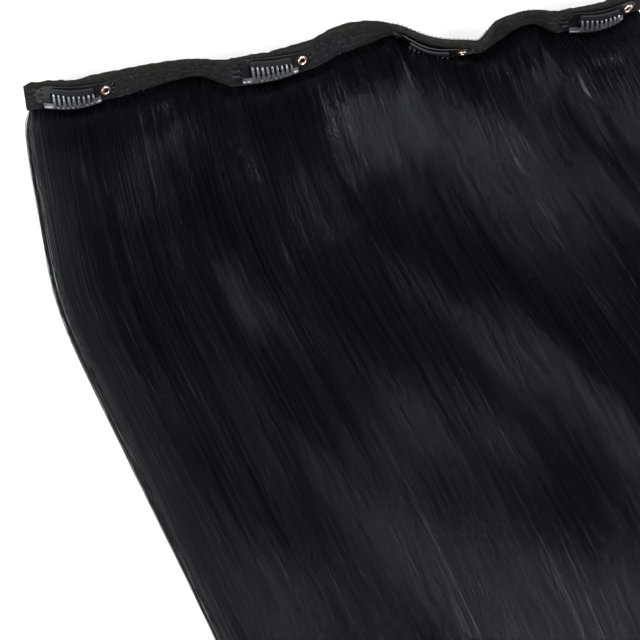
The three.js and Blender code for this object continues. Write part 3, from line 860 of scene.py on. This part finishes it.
def walked_places(shares):
    """Each share's strand in plan, with places at every step along it, and its root: the band's
    foot and its directions there."""
    reach = BAND_RUN / 2 - EDGE_INSET
    wanted = (shares - 0.5) * BAND_RUN
    roots = np.clip(wanted, -reach, reach)
    foot, along, behind, upward, outward = band_at(roots)
    square = np.arctan2(along[:, 1], along[:, 0])
    at = foot[:, :2].copy()
    at[:, 0] += (wanted - roots) * (np.abs(shares - 0.5) > 0.5)
    places = [at]
    for step in range(STEPS):
        walked = step * FLOW_STEP
        left, right = (np.interp(walked / HAIR_LENGTH, FLOW[:, 0], FLOW[:, c]) for c in (1, 2))
        angle = np.radians(left + (right - left) * shares) + square * math.exp(-walked / ROOT_TURN)
        places.append(places[-1] + np.stack([np.sin(angle), -np.cos(angle)], -1) * FLOW_STEP)
    return np.stack(places, 1), (foot, behind, upward, outward)


def hair_top(shares, away):
    """Height of the laid hair at shares across and distances from the band."""
    u = shares[:, None]
    d = away[None, :]
    at = d / HAIR_LENGTH
    base = np.interp(at, *np.array(HAIR_HEIGHT).T)
    closed = np.maximum(0, at - TIP_START) / (1 - TIP_START)
    open_share = np.sqrt(np.maximum(0, 1 - closed**2))
    rising = smooth(d, 2, 40)
    across = u * BAND_RUN
    slide = 5 * drift(across / 40, d / 160, 3)
    folds = 1.1 * drift((across + slide) / 34, d / 60, 11)
    locks = 0.85 * drift((across + slide * 1.3) / 12, d / 42, 12)
    wisps = 0.5 * drift((across + slide * 1.5) / 4.2, d / 24, 13)
    threads = 0.13 * drift((across + slide * 1.6) / 1.8, d / 13, 14)
    near = 0.35 + 0.65 * smooth(d, 5, 60)
    relief = (folds + locks) * rising + (wisps + threads) * near
    for share, middle, wide, long, height, sliding in SWELLS:
        off = (u - share) * BAND_RUN - sliding * (d - middle) / long
        relief = relief + height * np.exp(-((off / wide) ** 2) - ((d - middle) / long) ** 2)
    top = base + relief * open_share
    edge = np.clip(np.minimum(shares, 1 - shares) * BAND_RUN / EDGE_ROUND, 0, 1)[:, None]
    top = top * np.sqrt(np.maximum(1 - (1 - edge) ** 2, 0.004))
    # the hair presses flat as it comes out below the band
    low = ROOT_HEIGHT + 0.25 * drift(across / 6, 0, 15)
    pressed = (1 - smooth(d, 0, ROOT_PRESSED)) * np.minimum(1, edge * 4)
    return np.maximum(top + (low - top) * pressed, 0.35)


def laid_rows(shares, away):
    """Points of the hair's upper side, from the back of the band to its end."""
    places, root = walked_places(shares)
    steps = away / FLOW_STEP
    i = np.minimum(steps.astype(int), STEPS - 1)
    part = (steps - i)[None, :, None]
    plan = places[:, i] * (1 - part) + places[:, i + 1] * part
    rows = np.concatenate([plan, hair_top(shares, away)[:, :, None]], 2)
    return rows, places, root


def off_band(root, rise, back):
    """Places at a height on the band and a distance behind its middle."""
    foot, _, upward, outward = root
    return foot + upward * rise - outward * back


def root_rows(root):
    """From the head's near face down to the turn under the band."""
    foot, behind, _, _ = root
    low = off_band(root, 0.4, HEAD_FRONT)
    turn = foot + behind * 1.15
    turn[:, 2] = 4.75
    under = foot + behind * 0.5
    under[:, 2] = 4.2
    return np.stack([low, turn, under], 1)


def shifted(points):
    return np.asarray(points) + SHIFT


LAID = np.concatenate([np.linspace(0.6, 60, 46), np.linspace(63, HAIR_LENGTH - 1, 130)])


def strand_surface():
    """The surface that the strands follow: share across, and share along from under the band."""
    shares = np.linspace(-0.02, 1.02, 330)
    rows, _, root = laid_rows(shares, LAID)
    rows = np.concatenate([root_rows(root), rows], 1)
    length = np.concatenate([[0, 1.2, 2.2], LAID + 2.4]) / (HAIR_LENGTH + 1.4)
    uv = np.stack(np.broadcast_arrays((shares[:, None] + 0.02) / 1.04, length[None, :]), -1)
    return loft(shifted(rows), "strand_surface", uv.reshape(-1, 2), closed=False)


def hair_body():
    shares = np.concatenate([[0, 0.002], np.linspace(0.006, 0.994, 220), [0.998, 1]])
    away = LAID[LAID < HAIR_LENGTH * BODY_END]
    rows, places, root = laid_rows(shares, away)
    thin = smooth(away, HAIR_LENGTH * (BODY_END - 0.16), HAIR_LENGTH * BODY_END)
    rows[:, :, 2] = np.maximum(rows[:, :, 2] * (1 - 0.85 * thin) - BODY_SUNK, 0.3)
    foot, behind, _, _ = root
    section = [(HEAD_RISE, 2.9), (HEAD_RISE + 0.35, 2.3), (HEAD_RISE, 1.7), (4, HEAD_FRONT)]
    head = np.stack([off_band(root, rise, back) for rise, back in section], 1)
    floor_away = away[::-6]
    steps = np.minimum((floor_away / FLOW_STEP).astype(int), STEPS)
    under = np.concatenate([places[:, steps], np.zeros((len(shares), len(steps), 1))], 2)
    turned = foot + behind * 2.7
    turned[:, 2] = 1.5
    back = np.stack([turned, off_band(root, 0.6, HEAD_BACK), off_band(root, 4, HEAD_BACK)], 1)
    rings = np.concatenate([head, root_rows(root), rows, under, back], 1)
    near = len(head[0]) + 3
    down = np.concatenate([np.linspace(-0.03, 0, near), away / HAIR_LENGTH,
                           floor_away / HAIR_LENGTH, np.linspace(0, -0.03, 3)])
    uv = np.stack(np.broadcast_arrays(shares[:, None], down[None, :]), -1).reshape(-1, 2)
    made = loft(shifted(rings), "hair_mass", uv)
    made.data.materials.append(hair_mass)
    return made


def head_sewing():
    """The back of the sewn head: hairs folded down over it, and rows of stitches through them."""
    rng = np.random.default_rng(71)
    shares = np.sort(rng.uniform(0.008, 0.992, 1100))
    _, root = walked_places(shares)
    tops, feet = (shifted(off_band(root, *place)) for place in ((HEAD_RISE, 2.9), (0.7, HEAD_BACK)))
    hairs = sewn("head_hairs", tops, feet, -root[3], 4, 3, 0.26, 0.22, hair_strand)
    starts, ends, faces = [], [], []
    shares = np.arange(0.008, 0.985, 0.0066)
    for rise in (1.5, 3.3, 5.1, 6.7):
        for group, slide, more in ((starts, 0.0, 0.0), (ends, 0.0046, 0.5)):
            _, root = walked_places(shares + slide)
            group.append(off_band(root, rise + more, HEAD_BACK + 0.1))
        faces.append(-root[3])
    starts, ends, faces = (np.concatenate(a) for a in (starts, ends, faces))
    return hairs, sewn("head_stitches", shifted(starts), shifted(ends), faces, 4, 4, 0.26, 0.24)


def make_hair():
    body = hair_body()
    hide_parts("hair")
    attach(body, "weft")
    surface = strand_surface()
    common = {
        "Material": hair_strand, "Points": 18, "Late": 0.5, "Shortest": 0.9, "Reach": 1.0,
        "Thickness": 0.0002, "Sunk": -0.0002, "Proud": 0.0012, "Stray": 0.007, "Clump": 0.4,
        "Slant": 0.0, "Gather": 0.0, "Gathered": 0.0,
    }
    sets = {}
    # whole strands in four pieces, and two of strands whose lower half lies under the others
    for number, (first, last, count, reach) in enumerate((
        (-0.004, 0.25, 800, 1.0), (0.25, 0.5, 760, 1.0), (0.5, 0.75, 760, 1.0),
        (0.75, 1.004, 800, 1.0), (-0.004, 0.5, 940, 0.55), (0.5, 1.004, 940, 0.55),
    )):
        sets[f"hair_strands_{number + 1}"] = {
            "Count": count, "Seed": 20 + 10 * number, "First": first, "Last": last, "Reach": reach,
        }
    sets["slanting_strands"] = {
        "Count": 520, "Seed": 81, "First": 0.24, "Last": 0.93, "Reach": 0.62, "Late": 0.3,
        "Sunk": 0.0001, "Proud": 0.0011, "Slant": 0.07, "Stray": 0.02,
    }
    # bunches that fan out from under the band's crests
    crests = ((0.577, 0.56, 0.65, 90), (0.815, 0.81, 0.88, 80))
    for number, (gather, first, last, count) in enumerate(crests):
        sets[f"bunch_{number + 1}"] = {
            "Count": count, "Seed": 60 + number, "First": first, "Last": last, "Reach": 0.4,
            "Late": 0.0, "Shortest": 0.5, "Sunk": 0.0004, "Proud": 0.0024, "Gather": gather,
            "Gathered": 0.92,
        }
    # finer hairs along both sides
    for number, (first, last) in enumerate(((-0.006, 0.004), (0.996, 1.006))):
        sets[f"edge_hairs_{number + 1}"] = {
            "Count": 110, "Seed": 50 + number, "First": first, "Last": last, "Late": 0.6,
            "Shortest": 0.4, "Thickness": 0.0001, "Stray": 0.009,
        }
    sets["stray_hairs"] = {
        "Count": 120, "Seed": 95, "First": -0.002, "Last": 1.002, "Late": 0.35, "Shortest": 0.75,
        "Thickness": 0.00016, "Sunk": 0.0003, "Proud": 0.0035, "Stray": 0.05, "Clump": 0.3,
    }
    for name, values in sets.items():
        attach(grown(name, surface, STRANDS, common | values), "weft")
    bpy.data.objects.remove(surface)
    for piece in head_sewing():
        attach(piece, "weft")


# The band

def band_relief(up, x):
    """How far the tape's face stands out of its plain section: sewn rows, a hem and creases."""
    rows = np.zeros(np.broadcast(up, x).shape)
    for middle, height in ((0.14, 0.18), (0.37, 0.2), (0.6, 0.2), (0.8, 0.3)):
        wavy = middle + 0.05 * drift(x / 11, middle * 40, 31)
        rows = rows + height * np.exp(-(((up - wavy) / 0.07) ** 2))
    creases = 0.2 * drift(x / 4.2, up * 2.6 + x / 9, 32)
    return rows + creases + 0.11 * drift(x / 1.3, up * 11, 33) - 0.1


def band_face(x, up, side):
    """Points on the tape's outer (1) or inner (-1) face, and the way out of the band there."""
    foot, _, _, upward, outward = band_at(x)
    profile = np.array(BAND_PROFILE)
    half = np.interp(up, profile[:, 0], profile[:, 1]) * BAND_THICKNESS / 2
    frill = 0.4 * drift(x / 5.5, 0, 34) + 0.28 * drift(x / 1.7, 3, 35)
    # the corner at its left end has sagged
    sag = 1.2 * smooth(x, 2.5 - BAND_RUN / 2, -BAND_RUN / 2) * smooth(up, 0.3, 1)
    ragged = frill * smooth(up, 0.75, 1) + 0.5 * frill * smooth(up, 0.2, 0)
    high = up * BAND_HEIGHT + ragged - sag
    out = side * (half + np.maximum(band_relief(up, x * side + 7 * side), -0.15))
    return foot + upward * high[:, None] + outward * out[:, None], outward


def make_band():
    x = np.linspace(-BAND_RUN / 2, BAND_RUN / 2, 420)
    ups = np.concatenate([[0.0], np.linspace(0.035, 0.97, 22), [1.0]])
    faces = [band_face(x, np.full_like(x, up), 1)[0] for up in ups]
    faces += [band_face(x, np.full_like(x, up), -1)[0] for up in ups[::-1]]
    rings = np.stack(faces, 1)
    steps = np.linalg.norm(np.diff(band_at(x)[0], axis=0), axis=1)
    length = np.concatenate([[0], np.cumsum(steps)])
    height = np.concatenate([ups, 2 - ups[::-1]]) * BAND_HEIGHT
    uv = np.stack(np.broadcast_arrays(length[:, None] * 0.001, height[None, :] * 0.001), -1)
    band = loft(shifted(rings), "band_tape", uv.reshape(-1, 2))
    band.data.materials.append(band_cloth)
    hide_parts("weft_band")
    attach(band, "weft")
    fuzz = grown("band_fuzz", band, FIBRES, {
        "Material": black_thread, "Density": 240000.0, "Seed": 5, "Length": 0.0014,
        "Thickness": 0.00009, "Curl": 0.0012,
    })
    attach(fuzz, "weft")
    stitches = band_stitches()
    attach(stitches, "weft")


def band_stitches():
    """Running stitches between the sewn rows, and slanting ones over them, on both faces."""
    starts, ends, faces = [], [], []

    def row(x, low, reach, high, side):
        points, outward = band_face(x, np.full_like(x, low), side)
        starts.append(points)
        ends.append(band_face(x + reach, np.full_like(x, high), side)[0])
        faces.append(outward * side)

    left, right = -BAND_RUN / 2, BAND_RUN / 2
    for side in (1, -1):
        for up, pitch, rise in (
            (0.26, 2.3, 0), (0.49, 2.3, 0), (0.72, 2.3, 0), (0.92, 1.7, 0.05), (0.06, 1.9, 0.04),
        ):
            row(np.arange(left + 1.5, right - 2.5, pitch), up, pitch * 0.72, up + rise, side)
        for low, high, slant in ((0.24, 0.5, 1.6), (0.5, 0.74, -1.6)):
            row(np.arange(left + 2, right - 4, 3.1), low, slant, high, side)
    starts, ends, faces = (np.concatenate(a) for a in (starts, ends, faces))
    return sewn("band_stitches", shifted(starts), shifted(ends), faces, 5, 4, 0.24, 0.16)


# The clips

def arc(middle, radius, start, end, count):
    angles = np.radians(np.linspace(start, end, count))
    return [(middle[0] + radius * math.cos(a), middle[1] + radius * math.sin(a)) for a in angles]


def bent(start, control, end, count=14):
    """Points of a curve from start towards control and on to end, without its first point."""
    t = np.linspace(0, 1, count)[1:, None]
    start, control, end = (np.array(p, float) for p in (start, control, end))
    return [tuple(p) for p in (1 - t) ** 2 * start + 2 * t * (1 - t) * control + t**2 * end]


def cut_plate(name, outline, holes, thickness, rounding):
    """A plate in the plane of the outline, its middle at zero, with rounded edges."""
    shape = bpy.data.curves.new(name, "CURVE")
    shape.dimensions = "2D"
    shape.fill_mode = "BOTH"
    shape.extrude = thickness / 2 - rounding
    shape.bevel_depth = rounding
    shape.bevel_resolution = 2
    shape.offset = -rounding
    for loop in [outline, *holes]:
        spline = shape.splines.new("POLY")
        spline.points.add(len(loop) - 1)
        spline.use_cyclic_u = True
        for point, (u, v) in zip(spline.points, loop):
            point.co = (u, v, 0, 1)
    holder = added(name, shape)
    mesh = worked_out(holder)
    bpy.data.objects.remove(holder)
    face_out(mesh, merge=0.002)
    return mesh


def frame_mesh():
    corner = CLIP_WIDTH * 0.3
    start = (corner * 0.6, 0.3)
    outline = [start, (PLATE_LENGTH - 0.4, 0.3)]
    outline += arc((PLATE_LENGTH - 0.4, 0.7), 0.4, -90, 0, 5)
    outline += [(PLATE_LENGTH, BAR_START_V), (WINDOW_END, BAR_END_V), (WINDOW_END, RIVET_V - TIP_RADIUS)]
    outline += arc((RIVET_U, RIVET_V), TIP_RADIUS, -90, 75, 22)
    shoulder = outline[-1]
    outline += bent(shoulder, (CLIP_LENGTH * 0.55, CLIP_WIDTH * 1.02), (corner * 1.6, CLIP_WIDTH), 20)
    outline += bent((corner * 1.6, CLIP_WIDTH), (0.4, CLIP_WIDTH * 0.94), (0, CLIP_WIDTH * 0.56))
    outline += bent((0, CLIP_WIDTH * 0.56), (0.1, CLIP_WIDTH * 0.12), start)[:-1]
    holes = [arc((RIVET_U, RIVET_V), RIVET_HOLE, 360, 0, 33)[:-1]]
    for share in (0.3, 0.55, 0.8):
        holes.append(arc((PLATE_LENGTH * 0.42, CLIP_WIDTH * share), SEWING_HOLE, 360, 0, 17)[:-1])
    mesh = cut_plate("frame", outline, holes, CLIP_SHEET, 0.14)
    mesh.transform(Matrix.Translation((0, 0, FRAME_BACK + CLIP_SHEET / 2)))
    return mesh


def strip_mesh():
    """The comb's strip, turned up along the clip's toothed edge."""
    low, sheet = COMB_BACK, CLIP_SHEET
    outline = [(2.3, low), (2.3, low + sheet)]
    outline += bent((1.2, low + sheet), (sheet + 0.05, low + sheet), (sheet, low + 1.0), 6)
    outline += [(0, low + 1.0)]
    outline += bent((0.0, low + 0.7), (0.05, low), (0.9, low), 7)
    start, end = PLATE_LENGTH - 3.2, RIVET_U - 2.45
    mesh = cut_plate("strip", outline, [], end - start, 0.1)
    turn = Matrix(((0, 0, 1), (1, 0, 0), (0, 1, 0))).to_4x4()
    mesh.transform(Matrix.Translation(((start + end) / 2, 0, 0)) @ turn)
    return mesh


def comb_object(number):
    """The strip and its teeth, in the clip's frame and in millimetres."""
    blank = added("blank", bpy.data.meshes.new("blank"))
    first, last = PLATE_LENGTH + 0.7 + TOOTH_WIDTH / 2, WINDOW_END - 0.4 - TOOTH_WIDTH / 2
    teeth = grown(f"clip_{number}_teeth_comb", blank, COMB_TEETH, {
        "Material": comb_enamel_painted_glints, "Teeth": TEETH, "First": first, "Pitch": (last - first) / (TEETH - 1),
        "Width": TOOTH_WIDTH, "Sheet": CLIP_SHEET, "Foot": COMB_BACK + 0.4, "Top": COMB_BACK + 2.1,
        "Landing": COMB_BACK + PAD_THICKNESS + 0.6, "Reach": BAR_START_V + PAD_WIDTH * 0.36,
        "Last Reach": BAR_END_V + PAD_WIDTH * 0.36,
    })
    bpy.data.objects.remove(blank)
    work = bmesh.new()
    work.from_mesh(teeth.data)
    work.from_mesh(strip_mesh())
    work.to_mesh(teeth.data)
    work.free()
    return teeth


def turned_mesh(profile, sides):
    """A ring turned about the rivet's middle from (radius, height) points."""
    angles = np.linspace(0, 2 * math.pi, sides, endpoint=False)
    points = [(RIVET_U + r * math.cos(a), RIVET_V + r * math.sin(a), w) for a in angles for r, w in profile]
    size = len(profile)
    faces = []
    for k in range(sides):
        for i in range(size):
            a, b = k * size + i, k * size + (i + 1) % size
            c, d = ((k + 1) % sides) * size + (i + 1) % size, ((k + 1) % sides) * size + i
            faces.append((a, b, c, d))
    mesh = bpy.data.meshes.new("turned")
    mesh.from_pydata(points, [], faces)
    face_out(mesh)
    return mesh


def rivet_mesh():
    under = COMB_BACK - 0.1
    ring = 0.575
    rolled = [
        (1.575 + ring * math.cos(a), under + 0.2 + 0.55 * math.sin(a))
        for a in np.linspace(0, math.pi, 12)
    ]
    profile = [(1.0, FRAME_BACK), (1.3, FRAME_BACK), (1.3, under), (2.1, under), *rolled]
    return turned_mesh(profile, 48)


def pad_mesh():
    half, corner = PAD_WIDTH / 2, PAD_WIDTH * 0.35
    outline = []
    for middle, turn in (
        ((PAD_LENGTH - corner, -half + corner), -90), ((PAD_LENGTH - corner, half - corner), 0),
        ((corner, half - corner), 90), ((corner, -half + corner), 180),
    ):
        outline += arc(middle, corner, turn, turn + 90, 9)
    mesh = cut_plate("pad", outline, [], PAD_THICKNESS, 0.3)
    slope = math.atan2(BAR_END_V - BAR_START_V, WINDOW_END - PLATE_LENGTH)
    middle = COMB_BACK + PAD_THICKNESS / 2
    place = Matrix.Translation((PLATE_LENGTH + 0.8, BAR_START_V + half, middle))
    mesh.transform(place @ Matrix.Rotation(slope, 4, "Z"))
    return mesh


def bend(mesh, number):
    """Bows a mesh in the clip's frame as the clip's sheet is bowed."""
    work = bmesh.new()
    work.from_mesh(mesh)
    for u in np.arange(1.0, CLIP_LENGTH, 1.5):
        parts = [*work.verts, *work.edges, *work.faces]
        bmesh.ops.bisect_plane(work, geom=parts, plane_co=(u, 0, 0), plane_no=(1, 0, 0), dist=1e-4)
    for point in work.verts:
        point.co.z += float(bowed(number, point.co.x))
    work.to_mesh(mesh)
    work.free()


def set_on(name, mesh, number, material, body, sharp=40):
    """Puts a mesh in the clip's frame and millimetres where the clip is."""
    place = Matrix.Scale(0.001, 4) @ Matrix.Translation(Vector(SHIFT)) @ clip_frame(number)
    mesh = mesh.copy()
    bend(mesh, number)
    mesh.transform(place)
    mesh.name = name
    mesh.polygons.foreach_set("use_smooth", [True] * len(mesh.polygons))
    mesh.set_sharp_from_angle(angle=math.radians(sharp))
    mesh.materials.clear()
    mesh.materials.append(material)
    mesh.update()
    made = added(name, mesh)
    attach(made, body)
    return made


def clip_threads(number):
    """Thread from the plate's holes over its end, and over the rim of the round tip."""
    starts, ends = [], []
    for share in (0.3, 0.55, 0.8):
        v = CLIP_WIDTH * share
        for slide in (-0.55, 0.25):
            starts.append((PLATE_LENGTH * 0.42, v + slide * 0.3, FRAME_FACE - 0.1))
            ends.append((-0.9, v + slide, 0.05))
    for angle in (-38, 0, 34):
        turn = math.radians(angle)
        for radius, w, group in ((2.5, FRAME_FACE + 0.1, starts), (4.2, 0.05, ends)):
            group.append((RIVET_U + radius * math.cos(turn), RIVET_V + radius * math.sin(turn), w))
    place = Matrix.Translation(Vector(SHIFT)) @ clip_frame(number)
    starts, ends = (
        np.array([place @ Vector((u, v, w + bowed(number, u))) for u, v, w in group])
        for group in (starts, ends)
    )
    out = np.array(place.to_3x3() @ Vector((0, 0, 1)))
    faces = np.tile(out, (len(starts), 1))
    return sewn(f"clip_{number}_sewing", starts, ends, faces, 9, 8, 0.42, 0.42)


def make_clips():
    frame_shape, rivet_shape, pad_shape = frame_mesh(), rivet_mesh(), pad_mesh()
    for number in range(1, len(CLIPS) + 1):
        name = f"clip_{number}"
        plate = set_on(f"{name}_plate", frame_shape, number, black_enamel, "weft")
        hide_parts(f"{name}_frame")
        eyelet = set_on(f"{name}_eyelet", rivet_shape, number, eyelet_metal, "weft", 50)
        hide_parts(f"{name}_rivet")
        grip = set_on(f"{name}_grip", pad_shape, number, pad_silicone_painted_shade, "weft", 60)
        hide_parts(f"{name}_pad")
        comb = comb_object(number)
        teeth = set_on(f"{name}_toothed_comb", comb.data, number, comb_enamel_painted_glints, f"{name}_teeth", 50)
        bpy.data.objects.remove(comb)
        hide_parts(f"{name}_comb")
        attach(clip_threads(number), "weft")


place_camera()
place_lights()
lay_floor()
make_hair()
make_band()
make_clips()
